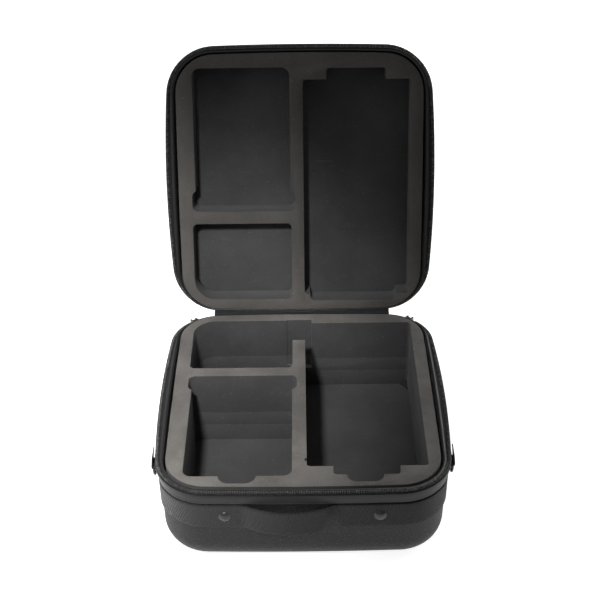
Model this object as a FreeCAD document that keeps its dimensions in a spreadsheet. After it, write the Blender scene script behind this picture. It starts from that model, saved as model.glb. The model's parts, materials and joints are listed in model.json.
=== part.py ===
import FreeCAD, Part
import math
import os
import Sketcher

# Hard carry case, standing open. Two moulded shells are joined along their back edge by a
# fabric hinge. Each shell holds a lining and die-cut foam with three pockets, and its rim
# carries a binding, a zip tape and half of a zip. A webbing strap round the base is slack
# between two rivets and makes the handle.
#
# Everything is drawn in plan coordinates taken from the hinge line: X across the case,
# -Y from the hinge towards the front, Z from the plane in which the two halves meet, so the
# base lies below zero and the closed lid above it. Each finished piece is then placed: the
# base is lifted onto its feet, and the lid is turned open about the hinge line.

SIZES = [
    # the two halves
    ("hingeBack", 142.0, "hinge line behind the origin"),
    ("rimHeight", 90.0, "meeting plane above the ground"),
    ("lidHeight", 44.0, "lid above the meeting plane"),
    ("lidOpen", 107.0, "angle the lid stands open, degrees"),
    ("rimDrop", 2.5, "shell edge below the meeting plane"),
    ("faceGap", 0.2, "foam face below the meeting plane"),
    ("draftAngle", 1.2, "draft of the moulded walls, degrees"),
    ("edgeRound", 25.0, "radius between shell wall and shell bottom"),
    ("lidRound", 21.0, "radius between lid wall and lid top"),
    ("endBow", 3000.0, "radius of the bow of front and back edges"),
    # outlines: width, distance of front and back edges from the hinge, corner, side bow
    ("shellWidth", 264.0, "outer shell"),
    ("shellFront", 276.0, "outer shell"),
    ("shellBack", 1.0, "outer shell"),
    ("shellCorner", 44.0, "outer shell"),
    ("shellBow", 3000.0, "outer shell"),
    ("cavityWidth", 257.0, "inside of the shell"),
    ("cavityFront", 272.5, "inside of the shell"),
    ("cavityBack", 2.6, "inside of the shell"),
    ("cavityCorner", 41.5, "inside of the shell"),
    ("cavityBow", 3000.0, "inside of the shell"),
    ("liningWidth", 256.2, "inside of the lining"),
    ("liningFront", 272.1, "inside of the lining"),
    ("liningBack", 3.0, "inside of the lining"),
    ("liningCorner", 41.0, "inside of the lining"),
    ("liningBow", 3000.0, "inside of the lining"),
    ("foamWidth", 250.0, "foam block"),
    ("foamFront", 270.5, "foam block"),
    ("foamBack", 3.4, "foam block"),
    ("foamCorner", 39.0, "foam block"),
    ("foamBow", 9000.0, "foam block"),
    ("flangeWidth", 275.0, "outer edge of the zip"),
    ("flangeFront", 278.5, "outer edge of the zip"),
    ("flangeBack", 0.8, "outer edge of the zip"),
    ("flangeCorner", 50.0, "outer edge of the zip"),
    ("flangeBow", 1200.0, "outer edge of the zip"),
    # shell, lining and foam across the bottom
    ("shellFloor", 3.5, "shell bottom thickness"),
    ("liningFloor", 4.0, "shell bottom and lining together"),
    ("foamFloor", 9.0, "shell bottom, lining and floor pad together"),
    ("lowerSeam", 28.0, "top of the lower foam layer above the ground"),
    ("middleSeam", 44.0, "top of the middle foam layer above the ground"),
    ("lidPadFloor", 11.0, "lid top, lining and backing pad together"),
    ("cavityRound", 21.5, "radius inside the shell bottom"),
    ("liningRound", 21.0, "radius inside the lining bottom"),
    ("foamRound", 21.0, "radius of the foam block's bottom edge"),
    ("lidCavityRound", 17.5, "the same inside the lid"),
    ("lidLiningRound", 17.0, "the same inside the lid's lining"),
    ("lidFoamRound", 17.0, "the same on the lid's foam"),
    # rim trim, measured from the meeting plane
    ("bindTop", 0.5, "upper face of the binding"),
    ("tapeTop", 2.5, "upper face of the zip tape"),
    ("tapeBase", 3.6, "lower face of the zip tape"),
    ("facingBase", 15.0, "lower edge of the facing under the tape"),
    ("facingTaper", 20.0, "slope of the facing, degrees"),
    ("coilTop", 0.35, "upper face of the zip coil"),
    ("zipStart", 24.0, "the zip begins this far in from the back corner"),
    ("facingStart", 9.0, "ends of tape and facing in front of the hinge line"),
    ("coilStart", 27.0, "ends of the zip coil in front of the hinge line"),
    ("coilGap", 0.05, "zip coil clear of the shell's outline"),
    # webbing
    ("strapThick", 1.6, "webbing thickness"),
    ("strapTop", 17.0, "upper edge below the meeting plane"),
    ("strapBase", 43.0, "lower edge below the meeting plane"),
    ("strapEnd", 46.0, "ends of the strap in front of the hinge line"),
    ("loopCentre", -12.0, "middle of the slack handle loop"),
    ("loopSpan", 45.0, "half width of the loop where it leaves the shell"),
    ("loopRise", 17.0, "reach of the loop in front of the strap"),
    ("flareRadius", 20.0, "radius where the loop leaves the shell"),
    ("gripHalf", 25.0, "half length of the part that swings"),
    ("gripGap", 0.5, "clearance at each end of the swinging part"),
    ("rivetLeft", 70.0, "left rivet from the middle"),
    ("rivetRight", 68.0, "right rivet from the middle"),
    ("rivetLevel", 30.0, "rivets below the meeting plane"),
    ("rivetCap", 5.6, "cap radius"),
    ("rivetDome", 2.6, "cap height"),
    ("rivetShank", 2.0, "shank radius"),
    ("rivetStand", 0.22, "cap rim clear of the sloping webbing"),
    # carrying ring on each side
    ("tabReach", 215.0, "middle of the tab in front of the hinge line"),
    ("tabWidth", 17.0, "webbing tab along the side"),
    ("tabTop", 5.5, "upper edge below the meeting plane"),
    ("barLevel", 19.0, "ring bar below the meeting plane"),
    ("barOut", 136.6, "ring bar from the middle of the case"),
    ("ringWire", 1.25, "wire radius of the ring"),
    ("ringRadius", 10.5, "radius of the ring's bow"),
    ("barrelRadius", 2.9, "webbing wrapped round the bar"),
    ("barBore", 1.33, "bore of the wrapped webbing"),
    # zip sliders
    ("parkAngle", 58.0, "where the sliders stand on the back corners, degrees"),
    ("sliderNear", 50.35, "inner face from the corner centre"),
    ("sliderFar", 54.6, "outer face from the corner centre"),
    ("sliderHalf", 3.6, "half width along the zip"),
    ("sliderTop", 3.6, "upper face below the meeting plane"),
    ("sliderBase", 11.6, "lower face below the meeting plane"),
    ("pullOut", 56.4, "pull axis from the corner centre"),
    ("pullLevel", 6.2, "pull axis below the meeting plane"),
    ("pullPin", 0.9, "pull pin radius"),
    ("pullBore", 0.96, "bore in the slider's bridge"),
    ("pullLength", 24.0, "pull from axis to tip"),
    ("pullHalf", 3.4, "half width of the pull"),
    ("pullThick", 1.6, "thickness of the pull"),
    # fabric hinge
    ("spineHalf", 92.0, "half length of the fabric hinge"),
    ("spineNear", 3.2, "hinge leaf begins this far from the hinge line"),
    ("spineFar", 24.0, "hinge leaf ends this far from the hinge line"),
    ("spineOut", 0.3, "outer face of the leaf in front of the hinge line"),
    ("cordRadius", 0.75, "piping cord along the fold"),
    # notch in the divider
    ("dividerBack", 27.5, "cut-down end of the divider from the hinge line"),
    ("dividerDrop", 58.0, "depth of the cut below the foam face"),
]

# Pockets: name, then rounded rectangles as left, right, back, front, corner radius. Distances
# run from the middle of the case and from the hinge line.
LARGE_MAIN = ("main", 3.2, 112.5, 20.0, 243.7, 3.0)
LARGE_TAB = ("tab", 27.0, 87.0, 200.0, 255.0, 3.5)
LARGE_THUMB = ("thumb", 39.0, 72.0, 210.0, 264.5, 9.0)
LARGE_NICK = ("nick", 1.4, 20.0, 232.5, 236.5, 0.9)
LARGE_BACK = ("back", 9.0, 100.0, 12.8, 60.0, 5.0)
MEDIUM_MAIN = ("main", -107.7, -10.1, 109.5, 255.8, 8.0)
MEDIUM_WIDE = ("wide", -111.5, -5.4, 109.5, 131.0, 6.0)
MEDIUM_THUMB = ("thumb", -76.0, -42.0, 200.0, 265.5, 10.0)
SMALL_MAIN = ("main", -111.7, -9.7, 15.0, 96.4, 5.0)
SMALL_ROUND = ("round", -111.7, -40.0, 15.0, 96.4, 22.0)

BASE_POCKETS = {
    "large": [LARGE_MAIN, LARGE_TAB, LARGE_THUMB, LARGE_NICK],
    "medium": [MEDIUM_MAIN, MEDIUM_WIDE, MEDIUM_THUMB],
    "small": [SMALL_MAIN],
}
LID_POCKETS = {
    "large": [LARGE_MAIN, LARGE_TAB, LARGE_BACK],
    "medium": [MEDIUM_MAIN, MEDIUM_WIDE],
    "small": [SMALL_MAIN],
}

doc = FreeCAD.newDocument("hard_carry_case")
sheet = doc.addObject("Spreadsheet::Sheet", "Sizes")
for row, (alias, value, note) in enumerate(SIZES, 1):
    sheet.set("A%d" % row, alias)
    sheet.set("B%d" % row, str(value))
    sheet.set("C%d" % row, note)
    sheet.setAlias("B%d" % row, alias)
doc.recompute()

VEC = FreeCAD.Vector
WIDE = 400.0
nodes = []


def size(alias):
    return float(getattr(sheet, alias))


def bind(obj, prop, expression):
    obj.setExpression(prop, expression)


def ref(alias):
    return "Sizes." + alias


# ---------------------------------------------------------------- sketches

def origin_plane(body, role):
    return next(f for f in body.Origin.OriginFeatures if f.Role == role)


def new_sketch(body, name, role="XY_Plane"):
    sketch = body.newObject("Sketcher::SketchObject", name)
    sketch.AttachmentSupport = [(origin_plane(body, role), "")]
    sketch.MapMode = "FlatFace"
    return sketch


def dimension(sketch, kind, args, value, expression=None):
    index = sketch.addConstraint(Sketcher.Constraint(kind, *args, value))
    if expression:
        sketch.setExpression("Constraints[%d]" % index, expression)


def bowed_frame(width, depth, side_bow, end_bow, corner):
    """Centres and angles of the arcs of a rounded rectangle with gently bowed sides."""
    side_centre = width / 2 - side_bow
    end_centre = depth / 2 - end_bow
    gap = math.hypot(side_centre, end_centre)
    near = side_bow - corner
    far = end_bow - corner
    along = (near * near - far * far + gap * gap) / (2 * gap)
    across = math.sqrt(near * near - along * along)
    ux = -side_centre / gap
    uy = end_centre / gap
    foot = (side_centre + along * ux, along * uy)
    picks = [(foot[0] + s * across * uy, foot[1] - s * across * ux) for s in (1, -1)]
    centre = max(picks, key=lambda p: p[0] + p[1])
    start = math.atan2(centre[1], centre[0] - side_centre)
    end = math.atan2(centre[1] - end_centre, centre[0])
    return side_centre, end_centre, centre, start, end


def outline_terms(name, grow=None):
    """Numbers and expressions of one outline, widened all round by the alias grow."""
    extra = size(grow) if grow else 0.0
    more = " + " + ref(grow) if grow else ""
    less = " - " + ref(grow) if grow else ""
    twice = " + 2 * " + ref(grow) if grow else ""
    front = size(name + "Front") + extra
    back = size(name + "Back") - extra
    values = {
        "width": size(name + "Width") + 2 * extra,
        "depth": front - back,
        "side": size(name + "Bow") + extra,
        "end": size("endBow") + extra,
        "corner": size(name + "Corner") + extra,
        "middle": -(front + back) / 2,
    }
    front_text = ref(name + "Front") + more
    back_text = ref(name + "Back") + less
    texts = {
        "width": ref(name + "Width") + twice,
        "depth": "(%s) - (%s)" % (front_text, back_text),
        "side": ref(name + "Bow") + more,
        "end": ref("endBow") + more,
        "corner": ref(name + "Corner") + more,
        "middle": "-((%s) + (%s)) / 2" % (front_text, back_text),
    }
    return values, texts


def draw_outline(sketch, values, texts):
    """Eight tangent arcs: two side bows, two end bows and four corners."""
    side, end, corner, start, stop = bowed_frame(
        values["width"], values["depth"], values["side"], values["end"], values["corner"])
    pi = math.pi

    def arc(x, y, radius, first, last):
        circle = Part.Circle(VEC(x, y, 0), VEC(0, 0, 1), radius)
        sketch.addGeometry(Part.ArcOfCircle(circle, first, last), False)

    cx, cy = corner
    arc(side, 0, values["side"], -start, start)
    arc(cx, cy, values["corner"], start, stop)
    arc(0, end, values["end"], stop, pi - stop)
    arc(-cx, cy, values["corner"], pi - stop, pi - start)
    arc(-side, 0, values["side"], pi - start, pi + start)
    arc(-cx, -cy, values["corner"], pi + start, pi + stop)
    arc(0, -end, values["end"], pi + stop, 2 * pi - stop)
    arc(cx, -cy, values["corner"], 2 * pi - stop, 2 * pi - start)
    for index in range(8):
        sketch.addConstraint(Sketcher.Constraint("Tangent", index, 2, (index + 1) % 8, 1))
    for index in (0, 4):
        sketch.addConstraint(Sketcher.Constraint("PointOnObject", index, 3, -1))
        dimension(sketch, "Radius", (index,), values["side"], texts["side"])
    for index in (2, 6):
        sketch.addConstraint(Sketcher.Constraint("PointOnObject", index, 3, -2))
        dimension(sketch, "Radius", (index,), values["end"], texts["end"])
    for index in (1, 3, 5, 7):
        dimension(sketch, "Radius", (index,), values["corner"], texts["corner"])
    reach_x = "%s - (%s) / 2" % (texts["side"], texts["width"])
    reach_y = "%s - (%s) / 2" % (texts["end"], texts["depth"])
    dimension(sketch, "DistanceX", (0, 3, -1, 1), -side, reach_x)
    dimension(sketch, "DistanceX", (-1, 1, 4, 3), -side, reach_x)
    dimension(sketch, "DistanceY", (2, 3, -1, 1), -end, reach_y)
    dimension(sketch, "DistanceY", (-1, 1, 6, 3), -end, reach_y)


def rounded_rectangle(sketch, left, right, low, high, radius):
    """Four lines and four quarter arcs, fully dimensioned."""
    pi = math.pi
    corners = [(right - radius, high - radius, 0), (left + radius, high - radius, pi / 2),
               (left + radius, low + radius, pi), (right - radius, low + radius, 3 * pi / 2)]
    lines = [((right - radius, high), (left + radius, high)),
             ((left, high - radius), (left, low + radius)),
             ((left + radius, low), (right - radius, low)),
             ((right, low + radius), (right, high - radius))]
    for (x, y, first), (a, b) in zip(corners, lines):
        circle = Part.Circle(VEC(x, y, 0), VEC(0, 0, 1), radius)
        sketch.addGeometry(Part.ArcOfCircle(circle, first, first + pi / 2), False)
        sketch.addGeometry(Part.LineSegment(VEC(a[0], a[1], 0), VEC(b[0], b[1], 0)), False)
    for index in range(8):
        sketch.addConstraint(Sketcher.Constraint("Tangent", index, 2, (index + 1) % 8, 1))
    for index in (1, 5):
        sketch.addConstraint(Sketcher.Constraint("Horizontal", index))
    for index in (3, 7):
        sketch.addConstraint(Sketcher.Constraint("Vertical", index))
    for index in (2, 4, 6):
        sketch.addConstraint(Sketcher.Constraint("Equal", 0, index))
    dimension(sketch, "Radius", (0,), radius)
    dimension(sketch, "DistanceX", (-1, 1, 3, 1), left)
    dimension(sketch, "DistanceX", (-1, 1, 7, 1), right)
    dimension(sketch, "DistanceY", (-1, 1, 5, 1), low)
    dimension(sketch, "DistanceY", (-1, 1, 1, 1), high)


# ---------------------------------------------------------------- solids in plan

def new_body(name):
    return doc.addObject("PartDesign::Body", name)


def blank(name, outline, side, top, bottom, draft="draftAngle", edge=None, grow=None):
    """Drafted block with a bowed outline, from the level top to the level bottom.

    side is -1 for the base, whose levels run down, and +1 for the lid. top and bottom are
    expressions for distances from the meeting plane, and edge rounds the far edge.
    """
    body = new_body(name)
    values, texts = outline_terms(outline, grow)
    sketch = new_sketch(body, name + "_outline")
    draw_outline(sketch, values, texts)
    bind(sketch, "AttachmentOffset.Base.y", texts["middle"])
    bind(sketch, "AttachmentOffset.Base.z", "%d * (%s)" % (side, top))
    pad = body.newObject("PartDesign::Pad", name + "_pad")
    pad.Profile = sketch
    pad.Reversed = side < 0
    bind(pad, "Length", "(%s) - (%s)" % (bottom, top))
    bind(pad, "TaperAngle", "-" + ref(draft))
    sketch.Visibility = False
    doc.recompute()
    if edge:
        far = max(abs(v.Z) for v in pad.Shape.Vertexes)
        names = ["Edge%d" % (i + 1) for i, e in enumerate(pad.Shape.Edges)
                 if all(abs(abs(v.Z) - far) < 1e-4 for v in e.Vertexes)]
        fillet = body.newObject("PartDesign::Fillet", name + "_edge")
        fillet.Base = (pad, names)
        bind(fillet, "Radius", ref(edge))
        doc.recompute()
    return body


def pocket_tool(name, side, rects, depth):
    """Solid of one foam pocket: overlapping rounded rectangles raised through the foam."""
    body = new_body(name)
    for label, left, right, back, front, radius in rects:
        sketch = new_sketch(body, "%s_%s" % (name, label))
        rounded_rectangle(sketch, left, right, -front, -back, radius)
        sketch.AttachmentOffset = FreeCAD.Placement(VEC(0, 0, -side * 2.0), FreeCAD.Rotation())
        pad = body.newObject("PartDesign::Pad", "%s_%s_pad" % (name, label))
        pad.Profile = sketch
        pad.Reversed = side < 0
        bind(pad, "Length", "(%s) + 2" % depth)
        doc.recompute()
    return body


def block(name, x, y, z):
    """Box from three pairs of limits, each a number or an expression."""
    box = doc.addObject("Part::Box", name)
    for prop, axis, (low, high) in zip(("Length", "Width", "Height"), "xyz", (x, y, z)):
        bind(box, prop, "(%s) - (%s)" % (high, low))
        bind(box, "Placement.Base." + axis, str(low))
    doc.recompute()
    return box


def cylinder(name, radius, height, base, direction):
    tube = doc.addObject("Part::Cylinder", name)
    bind(tube, "Radius", radius)
    bind(tube, "Height", height)
    tube.Placement = FreeCAD.Placement(VEC(*base), FreeCAD.Rotation(VEC(0, 0, 1), VEC(*direction)))
    doc.recompute()
    return tube


def cut(name, base, tool):
    result = doc.addObject("Part::Cut", name)
    result.Base = base
    result.Tool = tool
    doc.recompute()
    return result


def common(name, base, tool):
    result = doc.addObject("Part::Common", name)
    result.Base = base
    result.Tool = tool
    doc.recompute()
    return result


def fuse(name, parts):
    result = doc.addObject("Part::MultiFuse", name)
    result.Shapes = parts
    doc.recompute()
    return result


def copy_of(name, source):
    """Second use of a finished solid, so that one tool can serve several cuts."""
    result = doc.addObject("Part::Compound", name)
    result.Links = [source]
    doc.recompute()
    return result


def place(obj, label, half="base"):
    """Label a finished piece and put it where it belongs in the open case."""
    obj.Label = label
    bind(obj, "Placement.Base.y", ref("hingeBack"))
    bind(obj, "Placement.Base.z", ref("rimHeight"))
    if half == "lid":
        obj.Placement = FreeCAD.Placement(VEC(0, size("hingeBack"), size("rimHeight")),
                                          FreeCAD.Rotation(VEC(-1, 0, 0), size("lidOpen")))
        bind(obj, "Placement.Rotation.Angle", ref("lidOpen"))
    doc.recompute()
    nodes.append(obj)


# ---------------------------------------------------------------- one half of the case

def half_case(half, side, height, rounds, floors):
    """Shell, lining, foam block and rim trim of the base or of the lid."""
    outer_round, cavity_round, lining_round, foam_round = rounds
    shell_floor, lining_floor = floors
    total = ref(height)
    drop = ref("rimDrop")
    shell_blank = blank(half + "_shell_blank", "shell", side, drop, total, edge=outer_round)
    cavity = blank(half + "_cavity", "cavity", side, "0", "%s - %s" % (total, shell_floor),
                   edge=cavity_round)
    inside = blank(half + "_inside", "lining", side, "0", "%s - %s" % (total, lining_floor),
                   edge=lining_round)
    shell = cut(half + "_shell_raw", shell_blank, cavity)
    below_rim = block(half + "_below_rim", (-WIDE, WIDE), (-WIDE, WIDE),
                      (drop, total) if side > 0 else ("-" + total, "-" + drop))
    lining_full = cut(half + "_lining_full", copy_of(half + "_cavity_copy", cavity), inside)
    lining = common(half + "_lining_raw", lining_full, below_rim)
    foam = blank(half + "_foam_blank", "foam", side, ref("faceGap"),
                 "%s - %s" % (total, lining_floor), edge=foam_round)

    binding_blank = blank(half + "_binding_blank", "shell", side, ref("bindTop"), drop)
    binding = cut(half + "_binding_raw", binding_blank, copy_of(half + "_inside_copy", inside))

    back_limit = "-" + ref("zipStart")
    zip_keep = block(half + "_zip_keep", (-WIDE, WIDE), (-WIDE, "-" + ref("facingStart")),
                     (-WIDE, WIDE))
    zip_gap = block(half + "_zip_gap", ("-" + ref("spineHalf"), ref("spineHalf")),
                    (back_limit, WIDE), (-WIDE, WIDE))
    shell_copy = copy_of(half + "_shell_copy", shell_blank)

    def rim_ring(name, outline, inner, top, base, draft="draftAngle"):
        ring_blank = blank(name + "_blank", outline, side, top, base, draft=draft)
        ring = cut(name + "_ring", ring_blank, inner)
        ring_open = cut(name + "_open", ring, copy_of(name + "_gap", zip_gap))
        return common(name + "_raw", ring_open, copy_of(name + "_keep", zip_keep))

    tape = rim_ring(half + "_zip_tape", "flange", shell_copy, ref("tapeTop"), ref("tapeBase"))
    facing = rim_ring(half + "_zip_facing", "flange", copy_of(half + "_shell_copy2", shell_blank),
                      ref("tapeBase"), ref("facingBase"), draft="facingTaper")
    coil_hole = blank(half + "_coil_hole", "shell", side, "0", ref("tapeTop"), grow="coilGap")
    coil_full = rim_ring(half + "_zip_coil", "flange", coil_hole, ref("coilTop"), ref("tapeTop"))
    coil_keep = block(half + "_coil_keep", (-WIDE, WIDE), (-WIDE, "-" + ref("coilStart")),
                      (-WIDE, WIDE))
    coil = common(half + "_coil_raw", coil_full, coil_keep)

    leaf_levels = (ref("spineNear"), ref("spineFar"))
    if side < 0:
        leaf_levels = ("-" + ref("spineFar"), "-" + ref("spineNear"))
    leaf_box = block(half + "_leaf_box", ("-" + ref("spineHalf"), ref("spineHalf")),
                     ("-6", "-" + ref("spineOut")), leaf_levels)
    leaf = cut(half + "_leaf_raw", leaf_box, copy_of(half + "_shell_copy3", shell_blank))

    place(lining, half + "_lining", half)
    place(binding, half + "_rim_binding", half)
    place(tape, half + "_zip_tape", half)
    place(facing, half + "_zip_facing", half)
    place(coil, half + "_zip_teeth", half)
    place(leaf, half + "_spine_leaf", half)
    return shell_blank, shell, foam, facing


base_rounds = ("edgeRound", "cavityRound", "liningRound", "foamRound")
lid_rounds = ("lidRound", "lidCavityRound", "lidLiningRound", "lidFoamRound")
floors = (ref("shellFloor"), ref("liningFloor"))
base_blank, base_shell, base_foam, base_facing = half_case("base", -1, "rimHeight", base_rounds,
                                                           floors)
lid_blank, lid_shell, lid_foam, lid_facing = half_case("lid", 1, "lidHeight", lid_rounds, floors)
place(lid_shell, "lid_shell", "lid")


# ---------------------------------------------------------------- foam

def rounded_small_pocket(name, tool, side, depth):
    """The back outer corner of the small pocket follows the round of the case."""
    keep = pocket_tool(name + "_round", side, [SMALL_ROUND], depth)
    back_strip = pocket_tool(name + "_rest", side,
                             [("rest", -90.0, -9.7, 15.0, 96.4, 5.0),
                              ("front", -111.7, -9.7, 60.0, 96.4, 5.0)], depth)
    shape = fuse(name + "_kept", [keep, back_strip])
    return common(name + "_tool", tool, shape)


def pocket_cutters(half, side, pockets, depth):
    tools = []
    for name, rects in pockets.items():
        tool = pocket_tool("%s_%s_pocket" % (half, name), side, rects, depth)
        if name == "small":
            tool = rounded_small_pocket("%s_%s" % (half, name), tool, side, depth)
        tools.append(tool)
    return fuse(half + "_pockets", tools)


base_tools = pocket_cutters("base", -1, BASE_POCKETS, ref("rimHeight") + " - " + ref("foamFloor"))
lid_tools = pocket_cutters("lid", 1, LID_POCKETS, ref("lidHeight") + " - " + ref("lidPadFloor"))
base_cut = cut("base_foam_cut", base_foam, base_tools)
lid_cut = cut("lid_foam_cut", lid_foam, lid_tools)

# The pockets are cut through stacked sheets, so the base foam is sliced at its seams.
LAYERS = [
    ("base_foam_floor", "rimHeight", "foamFloor"),
    ("base_foam_lower", "foamFloor", "lowerSeam"),
    ("base_foam_middle", "lowerSeam", "middleSeam"),
    ("base_foam_upper", "middleSeam", None),
]
divider_notch = block("divider_notch", (-16, 10), ("-" + ref("dividerBack"), -14),
                      ("-" + ref("dividerDrop"), 2))
for name, low, high in LAYERS:
    under = "0" if low == "rimHeight" else ref(low)
    over = ref(high) if high else ref("rimHeight") + " + 1"
    slab = block(name + "_slab", (-WIDE, WIDE), (-WIDE, WIDE),
                 ("%s - %s" % (under, ref("rimHeight")), "%s - %s" % (over, ref("rimHeight"))))
    layer = common(name + "_raw", copy_of(name + "_foam", base_cut), slab)
    if name in ("base_foam_middle", "base_foam_upper"):
        layer = cut(name + "_notched", layer, copy_of(name + "_notch", divider_notch))
    place(layer, name)

lid_split = "%s - %s" % (ref("lidHeight"), ref("lidPadFloor"))
lid_levels = [("lid_foam_frame", "0", lid_split), ("lid_foam_backing", lid_split, ref("lidHeight"))]
for name, low, high in lid_levels:
    slab = block(name + "_slab", (-WIDE, WIDE), (-WIDE, WIDE), (low, high))
    layer = common(name + "_raw", copy_of(name + "_foam", lid_cut), slab)
    place(layer, name, "lid")


# ---------------------------------------------------------------- webbing and handle

strap_blank = blank("strap_blank", "shell", -1, ref("rimDrop"), ref("strapBase") + " + 5",
                    grow="strapThick")
strap_band = block("strap_band", (-WIDE, WIDE), (-WIDE, "-" + ref("strapEnd")),
                   ("-" + ref("strapBase"), "-" + ref("strapTop")))
strap_full = common("strap_full", strap_blank, strap_band)
strap_ring = cut("strap_ring", strap_full, copy_of("strap_shell", base_blank))
loop_left = "%s - %s" % (ref("loopCentre"), ref("loopSpan"))
loop_right = "%s + %s" % (ref("loopCentre"), ref("loopSpan"))
tall = (-WIDE, WIDE)
strap_left = common("strap_left_raw", strap_ring, block("strap_left_keep", (-WIDE, loop_left), tall,
                                                        tall))
strap_right = common("strap_right_raw", copy_of("strap_ring_copy", strap_ring),
                     block("strap_right_keep", (loop_right, WIDE), tall, tall))

# The slack loop is one band swept along two flares and a crown that touch tangentially.
loop = new_body("loop_sweep")
span = size("loopSpan")
rise = size("loopRise")
flare = size("flareRadius")
crown = (span * span + rise * rise) / (2 * rise) - flare
turn = math.asin(span / (crown + flare))
path = new_sketch(loop, "loop_path")
half_pi = math.pi / 2


def path_arc(x, y, radius, first, last):
    circle = Part.Circle(VEC(x, y, 0), VEC(0, 0, 1), radius)
    path.addGeometry(Part.ArcOfCircle(circle, first, last), False)


# Drawn with the shell above and the loop hanging towards -Y.
path_arc(-span, -flare, flare, half_pi - turn, half_pi)
path_arc(0, crown - rise, crown, 3 * half_pi - turn, 3 * half_pi + turn)
path_arc(span, -flare, flare, half_pi, half_pi + turn)
path.addConstraint(Sketcher.Constraint("Tangent", 0, 1, 1, 1))
path.addConstraint(Sketcher.Constraint("Tangent", 1, 2, 2, 2))
path.addConstraint(Sketcher.Constraint("PointOnObject", 0, 2, -1))
path.addConstraint(Sketcher.Constraint("PointOnObject", 2, 1, -1))
path.addConstraint(Sketcher.Constraint("Vertical", 0, 3, 0, 2))
path.addConstraint(Sketcher.Constraint("Vertical", 2, 3, 2, 1))
dimension(path, "Radius", (0,), flare, ref("flareRadius"))
dimension(path, "Radius", (2,), flare, ref("flareRadius"))
dimension(path, "Radius", (1,), crown, "(%s^2 + %s^2) / (2 * %s) - %s" % (
    ref("loopSpan"), ref("loopRise"), ref("loopRise"), ref("flareRadius")))
dimension(path, "DistanceX", (0, 2, -1, 1), span, ref("loopSpan"))
dimension(path, "DistanceX", (-1, 1, 2, 1), span, ref("loopSpan"))
section = new_sketch(loop, "loop_section", "YZ_Plane")
thick = size("strapThick")
tall_half = (size("strapBase") - size("strapTop")) / 2
corner_points = [(-thick / 2, -tall_half), (thick / 2, -tall_half), (thick / 2, tall_half),
                 (-thick / 2, tall_half)]
for index in range(4):
    a = corner_points[index]
    b = corner_points[(index + 1) % 4]
    section.addGeometry(Part.LineSegment(VEC(a[0], a[1], 0), VEC(b[0], b[1], 0)), False)
for index in range(4):
    section.addConstraint(Sketcher.Constraint("Coincident", index, 2, (index + 1) % 4, 1))
for index in (0, 2):
    section.addConstraint(Sketcher.Constraint("Horizontal", index))
for index in (1, 3):
    section.addConstraint(Sketcher.Constraint("Vertical", index))
section.addConstraint(Sketcher.Constraint("Symmetric", 0, 1, 2, 1, -1, 1))
dimension(section, "DistanceX", (0, 1, 0, 2), thick, ref("strapThick"))
dimension(section, "DistanceY", (1, 1, 1, 2), 2 * tall_half,
          "%s - %s" % (ref("strapBase"), ref("strapTop")))
bind(section, "AttachmentOffset.Base.z", "-" + ref("loopSpan"))
doc.recompute()
sweep = loop.newObject("PartDesign::AdditivePipe", "loop_pipe")
sweep.Profile = section
sweep.Spine = path
doc.recompute()
bind(loop, "Placement.Base.x", ref("loopCentre"))
bind(loop, "Placement.Base.y", "-%s - %s / 2 + 0.45" % (ref("shellFront"), ref("strapThick")))
bind(loop, "Placement.Base.z", "-(%s + %s) / 2" % (ref("strapTop"), ref("strapBase")))
doc.recompute()

grip_low = "%s - %s" % (ref("loopCentre"), ref("gripHalf"))
grip_high = "%s + %s" % (ref("loopCentre"), ref("gripHalf"))
grip = common("grip_raw", loop, block("grip_keep", (grip_low, grip_high), tall, tall))
root_left = common("root_left_raw", copy_of("loop_copy_left", loop),
                   block("root_left_keep", (-WIDE, "%s - %s" % (grip_low, ref("gripGap"))), tall,
                         tall))
root_right = common("root_right_raw", copy_of("loop_copy_right", loop),
                    block("root_right_keep", ("%s + %s" % (grip_high, ref("gripGap")), WIDE), tall,
                          tall))


def rivet_parts(tag, x):
    """Domed cap outside the webbing and a shank through webbing and shell."""
    sagitta = x * x / (2 * size("endBow"))
    lean = size("rivetLevel") * math.tan(math.radians(size("draftAngle")))
    face = size("shellFront") - sagitta - lean + size("strapThick") + size("rivetStand")
    cap_radius = size("rivetCap")
    dome = size("rivetDome")
    sphere_radius = (cap_radius ** 2 + dome ** 2) / (2 * dome)
    ball = doc.addObject("Part::Sphere", "rivet_ball_" + tag)
    bind(ball, "Radius", "(%s^2 + %s^2) / (2 * %s)" % (ref("rivetCap"), ref("rivetDome"),
                                                       ref("rivetDome")))
    ball.Placement.Base = VEC(x, -face - dome + sphere_radius, -size("rivetLevel"))
    clip = cylinder("rivet_clip_" + tag, ref("rivetCap"), ref("rivetDome"),
                    (x, -face, -size("rivetLevel")), (0, -1, 0))
    cap = common("rivet_cap_" + tag, ball, clip)
    reach = "%s + %s + %s" % (ref("rivetStand"), ref("strapThick"), ref("shellFloor"))
    shank = cylinder("rivet_shank_" + tag, ref("rivetShank"), reach,
                     (x, -face, -size("rivetLevel")), (0, 1, 0))
    return fuse("rivet_" + tag, [cap, shank]), shank


left_rivet, left_shank = rivet_parts("left", -size("rivetLeft"))
right_rivet, right_shank = rivet_parts("right", size("rivetRight"))
rivets = doc.addObject("Part::Compound", "handle_rivets_raw")
rivets.Links = [left_rivet, right_rivet]
shanks = doc.addObject("Part::Compound", "rivet_shanks")
shanks.Links = [left_shank, right_shank]
doc.recompute()
place(cut("base_shell_drilled", base_shell, shanks), "base_shell")
place(cut("strap_left_drilled", strap_left, copy_of("shanks_left", shanks)), "body_strap_left")
place(cut("strap_right_drilled", strap_right, copy_of("shanks_right", shanks)),
      "body_strap_right")
place(root_left, "handle_root_left")
place(root_right, "handle_root_right")
place(grip, "handle_grip")
place(rivets, "handle_rivets")


# ---------------------------------------------------------------- carrying rings

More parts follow.
